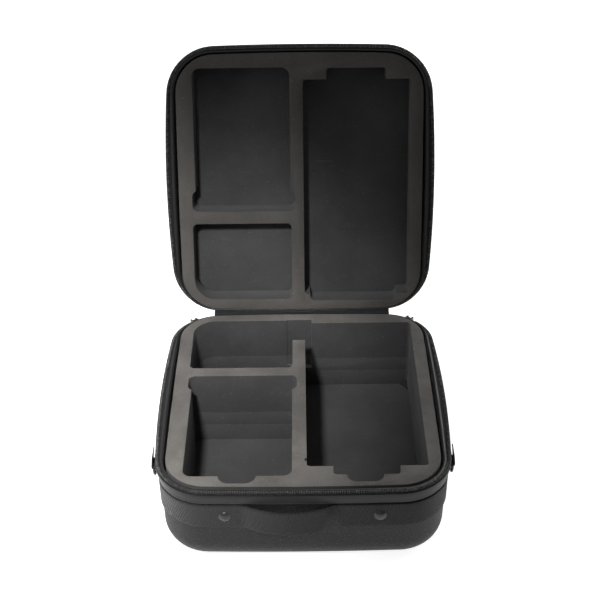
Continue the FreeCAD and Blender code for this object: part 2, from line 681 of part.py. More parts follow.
def carrying_ring(tag, side):
    """Webbing tab sewn to the facing, wrapped round the bar of a D-shaped ring."""
    out = side * size("barOut")
    reach = size("tabReach")
    level = -size("barLevel")
    half = size("tabWidth") / 2
    low = "-%s - %s / 2" % (ref("tabReach"), ref("tabWidth"))
    high = "-%s + %s / 2" % (ref("tabReach"), ref("tabWidth"))
    near = "%s - 6" % ref("barOut")
    far = "%s + 1.1" % ref("barOut")
    across = (near, far) if side > 0 else ("-(%s)" % far, "-(%s)" % near)
    plate = block("tab_plate_" + tag, across, (low, high),
                  ("-" + ref("barLevel"), "-" + ref("tabTop")))
    fitted = cut("tab_fitted_" + tag, plate, copy_of("tab_facing_" + tag, base_facing_solid))
    fitted = cut("tab_trimmed_" + tag, fitted, copy_of("tab_strap_" + tag, strap_blank))
    barrel = cylinder("tab_barrel_" + tag, ref("barrelRadius"), ref("tabWidth"),
                      (out, -reach - half, level), (0, 1, 0))
    bore = cylinder("tab_bore_" + tag, ref("barBore"), ref("tabWidth") + " + 20",
                    (out, -reach - half - 10, level), (0, 1, 0))
    tab = cut("tab_raw_" + tag, fuse("tab_joined_" + tag, [fitted, barrel]), bore)
    place(tab, "side_tab_" + tag)

    radius = size("ringRadius")
    bow = doc.addObject("Part::Torus", "ring_bow_" + tag)
    bind(bow, "Radius1", ref("ringRadius"))
    bind(bow, "Radius2", ref("ringWire"))
    bow.Angle3 = 180
    bow.Placement = FreeCAD.Placement(
        VEC(out, -reach, level),
        FreeCAD.Rotation(VEC(0, 1, 0), VEC(0, 0, -1), VEC(-1, 0, 0), "ZXY"))
    bar = cylinder("ring_bar_" + tag, ref("ringWire"), "2 * " + ref("ringRadius"),
                   (out, -reach - radius, level), (0, 1, 0))
    ends = []
    for index, end in enumerate((-radius, radius)):
        ball = doc.addObject("Part::Sphere", "ring_end_%s_%d" % (tag, index))
        bind(ball, "Radius", ref("ringWire"))
        ball.Placement.Base = VEC(out, -reach + end, level)
        ends.append(ball)
    doc.recompute()
    place(fuse("ring_raw_" + tag, [bow, bar] + ends), "d_ring_" + tag)


base_facing_solid = blank("facing_solid", "flange", -1, ref("tapeBase"), ref("facingBase"),
                          draft="facingTaper")
carrying_ring("left", -1)
carrying_ring("right", 1)


# ---------------------------------------------------------------- zip sliders

flange_values, flange_texts = outline_terms("flange")
flange_corner = bowed_frame(flange_values["width"], flange_values["depth"], flange_values["side"],
                            flange_values["end"], flange_values["corner"])[2]
corner_x = flange_corner[0]
corner_y = flange_corner[1] + flange_values["middle"]
print("slider corner centre", round(corner_x, 3), round(corner_y, 3))


def zip_slider(tag, side):
    """Slider hugging the zip at a back corner, with a hinged pull hanging outside it.

    Both are drawn along +X from the corner centre and then turned to where they park.
    """
    near = ref("sliderNear")
    far = ref("sliderFar")
    width = ("-" + ref("sliderHalf"), ref("sliderHalf"))
    body = block("slider_block_" + tag, (near, far), width,
                 ("-" + ref("sliderBase"), "-" + ref("sliderTop")))
    hug = cylinder("slider_hug_" + tag, near, "40", (0, 0, -20), (0, 0, 1))
    body = cut("slider_body_" + tag, body, hug)
    bridges = []
    pin_level = "-" + ref("pullLevel")
    for index, (low, high) in enumerate((("-3.6", "-2.0"), ("2.0", "3.6"))):
        ear = block("slider_ear_%s_%d" % (tag, index), (far + " - 0.2", ref("pullOut") + " + 1.6"),
                    (low, high), (pin_level + " - 1.8", pin_level + " + 1.8"))
        bridges.append(ear)
    bore = cylinder("slider_bore_" + tag, ref("pullBore"), "20",
                    (size("pullOut"), -10, -size("pullLevel")), (0, 1, 0))
    slider = cut("slider_raw_" + tag, fuse("slider_joined_" + tag, [body] + bridges), bore)

    pin = cylinder("pull_pin_" + tag, ref("pullPin"), "7.2",
                   (size("pullOut"), -3.6, -size("pullLevel")), (0, 1, 0))
    neck = block("pull_neck_" + tag, (ref("pullOut") + " - 0.9", ref("pullOut") + " + 0.9"),
                 ("-1.7", "1.7"), (pin_level + " - 5", pin_level))
    tongue = block("pull_tongue_" + tag,
                   (ref("pullOut") + " - 0.8", ref("pullOut") + " - 0.8 + " + ref("pullThick")),
                   ("-" + ref("pullHalf"), ref("pullHalf")),
                   (pin_level + " - " + ref("pullLength"), pin_level + " - 4.2"))
    pull = fuse("pull_joined_" + tag, [pin, neck, tongue])

    angle = size("parkAngle") if side > 0 else 180.0 - size("parkAngle")
    spot = FreeCAD.Placement(VEC(side * corner_x, corner_y, 0),
                             FreeCAD.Rotation(VEC(0, 0, 1), angle))
    for raw, label in ((slider, "zip_slider_"), (pull, "pull_tab_")):
        turned = copy_of(label + "turned_" + tag, raw)
        turned.Placement = spot
        doc.recompute()
        place(copy_of(label + "set_" + tag, turned), label + tag)


zip_slider("left", -1)
zip_slider("right", 1)


# ---------------------------------------------------------------- fold

cord = cylinder("fold_cord", ref("cordRadius"), "2 * " + ref("spineHalf"),
                (-size("spineHalf"), 0, 0), (1, 0, 0))
place(copy_of("fold_cord_set", cord), "hinge_cord")

doc.recompute()
for obj in doc.Objects:
    if "Invalid" in obj.State or "Error" in obj.State:
        raise RuntimeError("failed: %s %s" % (obj.Name, obj.State))
for obj in nodes:
    if obj.Shape.isNull() or not obj.Shape.isValid():
        raise RuntimeError("bad shape: " + obj.Label)

os.makedirs("parts", exist_ok=True)
for obj in nodes:
    obj.Shape.exportStep("parts/%s.step" % obj.Label)
    box = obj.Shape.BoundBox
    print("%-20s solids %d vol %9.1f  x %.1f..%.1f y %.1f..%.1f z %.1f..%.1f" % (
        obj.Label, len(obj.Shape.Solids), obj.Shape.Volume, box.XMin, box.XMax, box.YMin,
        box.YMax, box.ZMin, box.ZMax))
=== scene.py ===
# %% [markdown]
# # A hard carry case, standing open
# The imported model gives every part its place, so it is loaded first and never moved. Each
# new piece is made in the same frame, in metres, and most are told which moving body carries
# them.

# %% Load the imported case
import json
import math

import bpy
import numpy as np
from mathutils import Matrix, Vector


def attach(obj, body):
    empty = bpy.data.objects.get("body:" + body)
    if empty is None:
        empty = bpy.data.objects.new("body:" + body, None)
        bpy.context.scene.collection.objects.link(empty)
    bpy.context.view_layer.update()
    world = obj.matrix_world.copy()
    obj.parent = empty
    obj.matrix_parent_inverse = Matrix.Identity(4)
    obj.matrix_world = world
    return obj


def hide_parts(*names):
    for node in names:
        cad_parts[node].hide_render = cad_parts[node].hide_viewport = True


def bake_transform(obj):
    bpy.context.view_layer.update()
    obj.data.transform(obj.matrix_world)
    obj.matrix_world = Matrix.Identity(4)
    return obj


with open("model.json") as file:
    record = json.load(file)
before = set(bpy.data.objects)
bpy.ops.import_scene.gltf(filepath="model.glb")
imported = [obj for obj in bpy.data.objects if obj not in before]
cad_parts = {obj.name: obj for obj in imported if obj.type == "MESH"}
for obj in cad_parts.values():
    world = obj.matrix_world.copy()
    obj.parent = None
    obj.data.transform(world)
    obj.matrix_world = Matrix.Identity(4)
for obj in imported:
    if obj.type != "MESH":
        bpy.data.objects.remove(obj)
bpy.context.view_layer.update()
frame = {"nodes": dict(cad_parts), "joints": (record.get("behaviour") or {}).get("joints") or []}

MM = 0.001
print("nodes loaded:", len(frame["nodes"]))

# %% [markdown]
# ## The hinge line
# Both halves meet in one level plane, and the lid turns about a line at the back of it. Lid
# pieces are modelled shut, where they mirror the base, and then opened by the same angle as
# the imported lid. The other way, modelling them leaning back, would make every level a sum.

# %% Hinge line and opening angle
hinge = next(j for j in frame["joints"] if j["name"] == "lid_hinge")
HINGE = Vector(hinge["pos_m"])
LID_ANGLE = -math.radians(hinge["range_deg"][0])
OPENING = (Matrix.Translation(HINGE)
           @ Matrix.Rotation(LID_ANGLE, 4, Vector(hinge["axis"]))
           @ Matrix.Translation(-HINGE))
print("lid opened by", round(math.degrees(LID_ANGLE)), "degrees")

# %% [markdown]
# ## Camera and room
# The case is seen from the front and well above, with a long lens. The floor is a pale sweep
# that runs up behind the case. The key light is a small spot in front and a little to the
# left, with a soft-edged cone, so the base is brightest on the left and the top of the lid and
# the left walls of the pockets stay dark. Three weak soft lights keep the sides and back from
# going black. The floor gives off most of its own white and throws no diffuse light on the
# case. A plain lit floor would do too, but it would fill the dark sides with light.

# %% Camera
CAMERA_PLACE = (0.001172, -0.947796, 0.835277)
CAMERA_TURN = (56.194, 0.5586, -0.221)
CAMERA_LENS = 74.968
bpy.ops.object.camera_add(location=CAMERA_PLACE,
                          rotation=[math.radians(a) for a in CAMERA_TURN])
camera = bpy.context.object
camera.name = "camera"
camera.data.lens = CAMERA_LENS
camera.data.sensor_width = 36.0
bpy.context.scene.camera = camera
print("camera lens", camera.data.lens)

# %% Node helpers
def add(tree, kind, values=None, **settings):
    """One node, with its settings and its input values or links."""
    made = tree.nodes.new(kind)
    for key, value in settings.items():
        setattr(made, key, value)
    for socket, value in (values or {}).items():
        if isinstance(value, bpy.types.NodeSocket):
            tree.links.new(value, made.inputs[socket])
        else:
            made.inputs[socket].default_value = value
    return made


def mix(tree, factor, first, second):
    """Colour between first and second."""
    made = add(tree, "ShaderNodeMix", {0: factor, 6: first, 7: second}, data_type="RGBA")
    return made.outputs[2]


def maths(tree, operation, first, second=0.0):
    """One sum on two numbers."""
    return add(tree, "ShaderNodeMath", {0: first, 1: second}, operation=operation).outputs[0]


def ramp(tree, factor, low, high):
    """0 below low, 1 above high, and a smooth rise between."""
    made = add(tree, "ShaderNodeMapRange", {0: factor, 1: low, 2: high},
               interpolation_type="SMOOTHSTEP")
    return made.outputs[0]


def grey(value, warm=0.0):
    """A grey colour, a little warm or a little cold."""
    return (value * (1 + warm), value, value * (1 - warm), 1.0)


print("mid grey:", grey(0.18))

# %% Floor
def pick_edges(piece, wanted):
    """Selects only the edges whose two ends pass the test."""
    bpy.ops.object.mode_set(mode="EDIT")
    bpy.ops.mesh.select_mode(type="EDGE")
    bpy.ops.mesh.select_all(action="DESELECT")
    bpy.ops.object.mode_set(mode="OBJECT")
    for edge in piece.data.edges:
        first, second = (piece.data.vertices[v].co for v in edge.vertices)
        edge.select = bool(wanted(first, second))


SWEEP_SIZE = 6.0
SWEEP_BACK = 1.2
SWEEP_BEND = 0.5
bpy.ops.mesh.primitive_plane_add(size=SWEEP_SIZE, location=(0, SWEEP_BACK - SWEEP_SIZE / 2, 0))
floor = bpy.context.object
floor.name = "floor_sweep"
pick_edges(floor, lambda a, b: min(a.y, b.y) > SWEEP_SIZE / 2 - 0.01)
bpy.ops.object.mode_set(mode="EDIT")
bpy.ops.mesh.extrude_region_move(TRANSFORM_OT_translate={"value": (0, 0, SWEEP_SIZE / 2)})
bpy.ops.object.mode_set(mode="OBJECT")
bend = floor.modifiers.new("bend", "BEVEL")
bend.width = SWEEP_BEND
bend.segments = 12
bpy.ops.object.modifier_apply(modifier="bend")
bpy.ops.object.shade_smooth()
white = bpy.data.materials.new("pale_floor")
white.use_nodes = True
for socket, value in (("Base Color", grey(0.86)), ("Roughness", 0.9),
                      ("Emission Color", grey(1.0)), ("Emission Strength", 0.85)):
    white.node_tree.nodes["Principled BSDF"].inputs[socket].default_value = value
floor.data.materials.append(white)
floor.visible_diffuse = False
print("floor:", SWEEP_SIZE, "m")

# %% World and lights
ROOM_LIGHT = 0.17
world = bpy.data.worlds.new("room")
bpy.context.scene.world = world
world.use_nodes = True
background = world.node_tree.nodes["Background"]
background.inputs["Color"].default_value = grey(1.0)
camera_ray = add(world.node_tree, "ShaderNodeLightPath")
seen = add(world.node_tree, "ShaderNodeMapRange",
           {0: camera_ray.outputs["Is Camera Ray"], 3: ROOM_LIGHT, 4: 1.0})
world.node_tree.links.new(seen.outputs[0], background.inputs["Strength"])

LIGHTS = [
    # name, place, aim, width, power
    ("key", (-0.20, -0.75, 0.95), (-0.14, 0.045, 0.10), 0.05, 74.0),
    ("left_fill", (-1.1, -0.15, 0.6), (0.0, 0.0, 0.07), 0.6, 5.0),
    ("back_fill", (0.35, 1.3, 0.8), (0.0, 0.0, 0.1), 0.8, 24.0),
    ("right_fill", (1.2, 0.5, 0.5), (0.0, 0.0, 0.1), 0.6, 4.0),
]
KEY_CONE = 28.0
for name, place, aim, width, power in LIGHTS:
    bpy.ops.object.light_add(type="SPOT" if name == "key" else "AREA", location=place)
    light = bpy.context.object
    light.name = name
    light.data.energy = power
    if name == "key":
        light.data.shadow_soft_size = width
        light.data.spot_size = math.radians(KEY_CONE)
        light.data.spot_blend = 1.0
    else:
        light.data.size = width
    light.rotation_euler = (Vector(aim) - Vector(place)).to_track_quat("-Z", "Y").to_euler()
bpy.context.scene.view_settings.view_transform = "Standard"
print("lights:", [row[0] for row in LIGHTS])

# %% [markdown]
# ## The plan of the case
# Seen from above, everything in the case follows a rounded rectangle whose sides bow out a
# little. It is eight arcs that touch. A strip of any kind is made flat as a grid, the way
# tape comes off a roll, and each of its rows is then laid along one of these outlines, so
# its texture runs along the strip. A curve with a bevel would do it too, but then the strip
# could not change its width round the corners as this zip does.

# %% Outlines in plan
END_BOW = 3000.0
PLAN = {
    # width, front and back edge from the hinge line, corner radius, radius of the side bow
    "zip": (275.0, 278.5, 0.8, 50.0, 1200.0),
    "shell": (264.0, 276.0, 1.0, 44.0, 3000.0),
    "lining": (256.2, 272.1, 3.0, 41.0, 3000.0),
    "foam": (250.0, 270.5, 3.4, 39.0, 9000.0),
}
DRAFT = math.tan(math.radians(1.2))


def arcs_of(name, grow=0.0):
    """Centre, radius and angles of the arcs, against the clock from the middle of the back."""
    width, front, back, corner, side_bow = PLAN[name]
    width, front, back = width + 2 * grow, front + grow, back - grow
    corner, side_bow, end_bow = corner + grow, side_bow + grow, END_BOW + grow
    depth = front - back
    side_x, end_y = width / 2 - side_bow, depth / 2 - end_bow
    gap = math.hypot(side_x, end_y)
    near, far = side_bow - corner, end_bow - corner
    along = (near * near - far * far + gap * gap) / (2 * gap)
    across = math.sqrt(near * near - along * along)
    ux, uy = -side_x / gap, end_y / gap
    foot = (side_x + along * ux, along * uy)
    picks = [(foot[0] + s * across * uy, foot[1] - s * across * ux) for s in (1, -1)]
    cx, cy = max(picks, key=sum)
    low = math.atan2(cy, cx - side_x)
    high = math.atan2(cy - end_y, cx)
    pi = math.pi
    rows = [
        (0, end_y, end_bow, pi / 2, pi - high),
        (-cx, cy, corner, pi - high, pi - low),
        (-side_x, 0, side_bow, pi - low, pi + low),
        (-cx, -cy, corner, pi + low, pi + high),
        (0, -end_y, end_bow, pi + high, 2 * pi - high),
        (cx, -cy, corner, 2 * pi - high, 2 * pi - low),
        (side_x, 0, side_bow, 2 * pi - low, 2 * pi + low),
        (cx, cy, corner, 2 * pi + low, 2 * pi + high),
        (0, end_y, end_bow, 2 * pi + high, 2.5 * pi),
    ]
    middle = HINGE.y / MM - (front + back) / 2
    return np.array([(x, y + middle, r, a, b) for x, y, r, a, b in rows])


def places(shares):
    """Which arc each share of the way round falls on, and how far along that arc."""
    arcs = arcs_of("zip")
    ends = np.cumsum(arcs[:, 2] * (arcs[:, 4] - arcs[:, 3]))
    ends /= ends[-1]
    index = np.clip(np.searchsorted(ends, shares), 0, len(ends) - 1)
    starts = np.concatenate([[0.0], ends[:-1]])
    return index, (shares - starts[index]) / (ends[index] - starts[index])


def ring(name, shares, grow=0.0):
    """Points of an outline, in metres."""
    index, part = places(shares)
    cx, cy, radius, first, last = arcs_of(name, grow)[index].T
    angle = first + (last - first) * part
    return np.column_stack([cx + radius * np.cos(angle), cy + radius * np.sin(angle)]) * MM


round_trip = np.linspace(0, 1, 4001)
zip_line = ring("zip", round_trip)
PERIMETER = float(np.linalg.norm(np.diff(zip_line, axis=0), axis=1).sum())
ZIP_START = float(round_trip[np.argmax(zip_line[:, 1] < HINGE.y - 9 * MM)])
ZIP_SPAN = (ZIP_START, 1 - ZIP_START)
print("round the zip line:", round(PERIMETER, 3), "m, zip from share", round(ZIP_START, 4))

# %% Strips laid along the outlines
def only(*objects):
    """Selects just these objects, and makes the first one active."""
    bpy.ops.object.select_all(action="DESELECT")
    for each in objects:
        each.select_set(True)
    bpy.context.view_layer.objects.active = objects[0]


def coordinates(piece):
    values = np.zeros(len(piece.data.vertices) * 3)
    piece.data.vertices.foreach_get("co", values)
    return values.reshape(-1, 3)


def set_coordinates(piece, values):
    piece.data.vertices.foreach_set("co", np.asarray(values, float).ravel())
    piece.data.update()


def flat_strip(name, steps, rows):
    """A flat grid one unit long and wide. Also gives each vertex's column and row."""
    bpy.ops.object.select_all(action="DESELECT")
    bpy.ops.mesh.primitive_grid_add(x_subdivisions=steps, y_subdivisions=rows - 1, size=1)
    piece = bpy.context.object
    piece.name = name
    piece.data.name = name
    flat = coordinates(piece)
    column = np.rint((flat[:, 0] + 0.5) * steps).astype(int)
    row = np.rint((flat[:, 1] + 0.5) * (rows - 1)).astype(int)
    return piece, column, row


def lay(piece, column, row, points):
    """Moves the grid onto points[row, column] and gives its UV map real metres."""
    set_coordinates(piece, points[row, column])
    middle = points[len(points) // 2]
    along = np.concatenate([[0.0], np.cumsum(np.linalg.norm(np.diff(middle, axis=0), axis=1))])
    widths = np.linalg.norm(np.diff(points, axis=0), axis=2).mean(axis=1)
    across = np.concatenate([[0.0], np.cumsum(widths)])
    corner = np.zeros(len(piece.data.loops), int)
    piece.data.loops.foreach_get("vertex_index", corner)
    uv = np.column_stack([along[column[corner]], across[row[corner]]])
    piece.data.uv_layers[0].data.foreach_set("uv", uv.ravel())


def wrap(name, rows, half="base", span=(0.0, 1.0), steps=560, closed=False):
    """A strip laid round the case. Each row is (outline, outline, share between them, how
    far out, level below or above the meeting plane), in millimetres."""
    shares = np.linspace(span[0], span[1], steps + 1)
    side = -1 if half == "base" else 1
    points = []
    for inner, outer, between, grow, level in rows:
        flat = ring(inner, shares, grow) * (1 - between) + ring(outer, shares, grow) * between
        height = np.full(len(shares), HINGE.z + side * level * MM)
        points.append(np.column_stack([flat, height]))
    piece, column, row = flat_strip(name, steps, len(rows))
    lay(piece, column, row, np.array(points))
    if closed:
        bpy.ops.object.mode_set(mode="EDIT")
        bpy.ops.mesh.select_all(action="SELECT")
        bpy.ops.mesh.remove_doubles(threshold=0.01 * MM)
        bpy.ops.object.mode_set(mode="OBJECT")
    return piece


def edit_all(*steps):
    """Runs edit-mode steps on the whole active mesh."""
    bpy.ops.object.mode_set(mode="EDIT")
    bpy.ops.mesh.select_all(action="SELECT")
    for step in steps:
        step()
    bpy.ops.object.mode_set(mode="OBJECT")


def outward():
    bpy.ops.mesh.normals_make_consistent(inside=False)


print("strip helpers ready")

# %% Thickness, edges and finishing
def solid(piece, thickness):
    """Gives a strip its thickness, half to each side, and applies it."""
    only(piece)
    wall = piece.modifiers.new("thickness", "SOLIDIFY")
    wall.thickness = thickness * MM
    wall.offset = 0.0
    bpy.ops.object.modifier_apply(modifier="thickness")


def soften(piece, width, segments=2, angle=35):
    """Rounds the sharp edges and applies it."""
    only(piece)
    edge = piece.modifiers.new("edges", "BEVEL")
    edge.width = width * MM
    edge.segments = segments
    edge.limit_method = "ANGLE"
    edge.angle_limit = math.radians(angle)
    bpy.ops.object.modifier_apply(modifier="edges")
    bpy.ops.object.shade_smooth_by_angle(angle=math.radians(40))


def open_with_lid(piece):
    """Turns a piece that was modelled shut to where the open lid stands."""
    only(piece)
    piece.matrix_world = OPENING @ piece.matrix_world
    bpy.ops.object.transform_apply(location=True, rotation=True, scale=True)


def cover(piece, *materials):
    """Gives a piece these materials and no others."""
    piece.data.materials.clear()
    for material in materials:
        piece.data.materials.append(material)


def finish(piece, half, material, slot, *nodes):
    """Opens lid pieces, puts the finish on, and says what the piece rides on and replaces."""
    if half == "lid":
        open_with_lid(piece)
    if material is not None:
        cover(piece, material)
    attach(piece, half)
    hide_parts(*nodes)
    print(piece.name, len(piece.data.polygons), "faces")

# %% [markdown]
# ## Surface patterns
# Five patterns are shared by the materials, so each is a node group that puts out a height,
# a mask or both. Foam is tiny closed cells under broad cloudy patches. Webbing and tape are
# ribs counted along their own UV maps, so they follow the cloth round a corner. The moulded
# skin is rounded pebbles. Handling leaves faint scuffs, and those are stretched noise.

# %% Pattern groups
def group(name, inputs, outputs):
    """An empty node group with number inputs, a place input, and named outputs."""
    tree = bpy.data.node_groups.new(name, "ShaderNodeTree")
    tree.interface.new_socket("Place", in_out="INPUT", socket_type="NodeSocketVector")
    for label, value in inputs:
        made = tree.interface.new_socket(label, in_out="INPUT", socket_type="NodeSocketFloat")
        made.default_value = value
    for label in outputs:
        tree.interface.new_socket(label, in_out="OUTPUT", socket_type="NodeSocketFloat")
    start = tree.nodes.new("NodeGroupInput")
    end = tree.nodes.new("NodeGroupOutput")
    return tree, start, end


def turned(tree, place, degrees, stretch=(1, 1, 1)):
    """The place, turned about Z and stretched."""
    made = add(tree, "ShaderNodeMapping", {"Vector": place})
    made.inputs["Rotation"].default_value = (0, 0, math.radians(degrees))
    made.inputs["Scale"].default_value = stretch
    return made.outputs[0]


def ribs(tree, place, period, bend=0.0):
    """Soft ribs across X, one every period metres."""
    scale = 2 * math.pi / (20 * period)
    made = add(tree, "ShaderNodeTexWave", {"Vector": place, "Scale": scale, "Distortion": bend,
                                           "Detail": 2.0, "Detail Scale": 1.5},
               wave_type="BANDS", bands_direction="X", wave_profile="SIN")
    return made.outputs["Fac"]


def cells_group():
    tree, start, end = group("closed_cells", [("Cell Scale", 1300.0), ("Patch Scale", 16.0)],
                             ["Height", "Patch", "Speck"])
    place = start.outputs["Place"]
    cell = add(tree, "ShaderNodeTexVoronoi", {"Vector": place, "Scale": start.outputs[1]})
    grain = add(tree, "ShaderNodeTexNoise", {"Vector": place, "Scale": 420.0, "Detail": 5.0,
                                             "Roughness": 0.65})
    patch = add(tree, "ShaderNodeTexNoise", {"Vector": place, "Scale": start.outputs[2],
                                             "Detail": 4.0, "Roughness": 0.6})
    height = maths(tree, "ADD", maths(tree, "MULTIPLY", cell.outputs["Distance"], 0.6),
                   grain.outputs["Fac"])
    speck = ramp(tree, grain.outputs["Fac"], 0.60, 0.72)
    tree.links.new(height, end.inputs["Height"])
    tree.links.new(ramp(tree, patch.outputs["Fac"], 0.3, 0.7), end.inputs["Patch"])
    tree.links.new(speck, end.inputs["Speck"])
    return tree


def twill_group():
    tree, start, end = group("twill_ribs", [], ["Height", "Thread"])
    place = start.outputs["Place"]
    steep = ribs(tree, turned(tree, place, 24), 2.1 * MM)
    fine = ribs(tree, turned(tree, place, 90), 0.75 * MM)
    thread = add(tree, "ShaderNodeTexNoise", {"Vector": turned(tree, place, 0, (300, 900, 300)),
                                              "Scale": 1.0, "Detail": 3.0})
    height = maths(tree, "ADD", steep, maths(tree, "MULTIPLY", fine, 0.3))
    tree.links.new(height, end.inputs["Height"])
    tree.links.new(thread.outputs["Fac"], end.inputs["Thread"])
    return tree


def weave_group():
    tree, start, end = group("plain_weave", [("Slub", 0.4)], ["Height", "Thread"])
    place = start.outputs["Place"]
    warp = ribs(tree, place, 0.9 * MM, 0.4)
    weft = ribs(tree, turned(tree, place, 90), 0.9 * MM, 0.4)
    slub = add(tree, "ShaderNodeTexNoise", {"Vector": turned(tree, place, 0, (220, 700, 300)),
                                            "Scale": 1.0, "Detail": 4.0})
    height = maths(tree, "ADD", maths(tree, "MULTIPLY", warp, weft),
                   maths(tree, "MULTIPLY", slub.outputs["Fac"], start.outputs["Slub"]))
    tree.links.new(height, end.inputs["Height"])
    tree.links.new(slub.outputs["Fac"], end.inputs["Thread"])
    return tree


def pebble_group():
    tree, start, end = group("pebbles", [("Pebble Scale", 620.0)], ["Height", "Glint"])
    place = start.outputs["Place"]
    pebble = add(tree, "ShaderNodeTexVoronoi", {"Vector": place, "Scale": start.outputs[1],
                                                "Smoothness": 0.6, "Randomness": 0.9},
                 feature="SMOOTH_F1")
    grain = add(tree, "ShaderNodeTexNoise", {"Vector": place, "Scale": 900.0, "Detail": 3.0})
    height = maths(tree, "SUBTRACT", 1.0, pebble.outputs["Distance"])
    height = maths(tree, "ADD", height, maths(tree, "MULTIPLY", grain.outputs["Fac"], 0.35))
    glint = ramp(tree, grain.outputs["Fac"], 0.55, 0.75)
    tree.links.new(height, end.inputs["Height"])
    tree.links.new(glint, end.inputs["Glint"])
    return tree


def scuff_group():
    tree, start, end = group("scuffs", [("Amount", 0.5)], ["Mask"])
    place = start.outputs["Place"]
    streak = add(tree, "ShaderNodeTexNoise", {"Vector": turned(tree, place, 38, (25, 900, 400)),
                                              "Scale": 1.0, "Detail": 3.0, "Roughness": 0.7})
    where = add(tree, "ShaderNodeTexNoise", {"Vector": place, "Scale": 30.0, "Detail": 2.0})
    mask = maths(tree, "MULTIPLY", ramp(tree, streak.outputs["Fac"], 0.58, 0.75),
                 ramp(tree, where.outputs["Fac"], 0.5, 0.7))
    tree.links.new(maths(tree, "MULTIPLY", mask, start.outputs["Amount"]), end.inputs["Mask"])
    return tree


CELLS, TWILL, WEAVE, PEBBLES, SCUFFS = (make() for make in (
    cells_group, twill_group, weave_group, pebble_group, scuff_group))
print("pattern groups:", [tree.name for tree in (CELLS, TWILL, WEAVE, PEBBLES, SCUFFS)])

# %% [markdown]
# ## Materials
# All of the case is black or charcoal, so the finishes differ in roughness and grain more
# than in colour. The foam is the lightest and quite matt, the cut walls of the foam are
# darker than its skin, and the zip tape is nearly black, with a lighter, shinier coil. The
# lid's foam and the pocket floors are darker copies of the same foam, as painted shade.

# %% Materials
def use(tree, which, place, **values):
    """Places a pattern group in a material."""
    made = add(tree, "ShaderNodeGroup", node_tree=which)
    tree.links.new(place, made.inputs["Place"])
    for label, value in values.items():
        made.inputs[label].default_value = value
    return made


def bump(tree, height, distance, strength=1.0):
    return add(tree, "ShaderNodeBump", {"Height": height, "Distance": distance * MM,
                                        "Strength": strength}).outputs[0]


def new_material(name, rough, level=0.5, sheen=0.0):
    """A shader with its constant values, and the two places that patterns read."""
    made = bpy.data.materials.new(name)
    made.use_nodes = True
    tree = made.node_tree
    shader = tree.nodes["Principled BSDF"]
    shader.inputs["Roughness"].default_value = rough
    shader.inputs["Specular IOR Level"].default_value = level
    shader.inputs["Sheen Weight"].default_value = sheen
    shader.inputs["Sheen Roughness"].default_value = 0.5
    where = tree.nodes.new("ShaderNodeTexCoord")
    return made, tree, shader, where.outputs["Object"], where.outputs["UV"]


def foam_material(name, dark, light, level, scuffed=0.35, warm=0.07):
    """Matt foam between two greys, in cloudy patches, with light specks and scuffs."""
    made, tree, shader, place, _ = new_material(name, 0.92, level, sheen=0.08)
    cells = use(tree, CELLS, place)
    scuff = use(tree, SCUFFS, place, Amount=scuffed)
    body = mix(tree, cells.outputs["Patch"], grey(dark, warm), grey(light, warm))
    body = mix(tree, maths(tree, "MULTIPLY", cells.outputs["Speck"], 0.75), body,
               grey(light * 1.7, warm))
    body = mix(tree, scuff.outputs["Mask"], body, grey(light * 1.8, warm))
    tree.links.new(body, shader.inputs["Base Color"])
    tree.links.new(bump(tree, cells.outputs["Height"], 0.5, 0.8), shader.inputs["Normal"])
    return made


def cloth_material(name, which, tone, rough, depth, sheen, level=0.3):
    """Cloth with one of the woven patterns, and painted shade between the threads."""
    made, tree, shader, _, uv = new_material(name, rough, level, sheen=sheen)
    cloth = use(tree, which, uv)
    body = mix(tree, cloth.outputs["Thread"], grey(tone * 0.6), grey(tone * 1.5))
    # painted shade: darker where the weave's height is low, between the threads
    body = mix(tree, ramp(tree, cloth.outputs["Height"], 0.2, 1.1), grey(tone * 0.35), body)
    tree.links.new(body, shader.inputs["Base Color"])
    tree.links.new(bump(tree, cloth.outputs["Height"], depth), shader.inputs["Normal"])
    return made


def skin_material():
    """The moulded skin: dark, with small glints on the tops of its pebbles."""
    made, tree, shader, place, _ = new_material("pebbled_skin", 0.55, 0.45)
    skin = use(tree, PEBBLES, place)
    scuff = use(tree, SCUFFS, place, Amount=0.35)
    body = mix(tree, skin.outputs["Glint"], grey(0.007, -0.04), grey(0.055, -0.05))
    body = mix(tree, scuff.outputs["Mask"], body, grey(0.12))
    tree.links.new(body, shader.inputs["Base Color"])
    rough = add(tree, "ShaderNodeMapRange", {0: skin.outputs["Glint"], 3: 0.62, 4: 0.42})
    tree.links.new(rough.outputs[0], shader.inputs["Roughness"])
    tree.links.new(bump(tree, skin.outputs["Height"], 0.35), shader.inputs["Normal"])
    return made


def metal_material(name, tone, rough):
    """Black paint or nylon, shinier and lighter where it is rubbed."""
    made, tree, shader, place, _ = new_material(name, rough, 0.5)
    shine = add(tree, "ShaderNodeTexNoise", {"Vector": place, "Scale": 260.0, "Detail": 4.0})
    worn = ramp(tree, shine.outputs["Fac"], 0.5, 0.75)
    tree.links.new(mix(tree, worn, grey(tone), grey(tone * 1.8)), shader.inputs["Base Color"])
    spread = add(tree, "ShaderNodeMapRange", {0: shine.outputs["Fac"], 3: rough - 0.1,
                                              4: rough + 0.12})
    tree.links.new(spread.outputs[0], shader.inputs["Roughness"])
    tree.links.new(bump(tree, shine.outputs["Fac"], 0.05), shader.inputs["Normal"])
    return made


foam_face = foam_material("foam_skin", dark=0.080, light=0.145, level=0.25, scuffed=0.5)
# the lid's foam skin is a darker copy of the base's skin: painted shade
foam_lid_painted_shade = foam_material("foam_lid_skin_painted_shade", dark=0.060, light=0.082, level=0.2)
foam_wall = foam_material("foam_cut_wall", dark=0.045, light=0.060, level=0.2, scuffed=0.6,
                          warm=0.0)
# the pocket floors are a darker copy of the same foam: painted shade
foam_floor = foam_material("foam_pocket_floor_painted_shade", dark=0.052, light=0.068, level=0.2,
                           scuffed=0.7, warm=0.0)
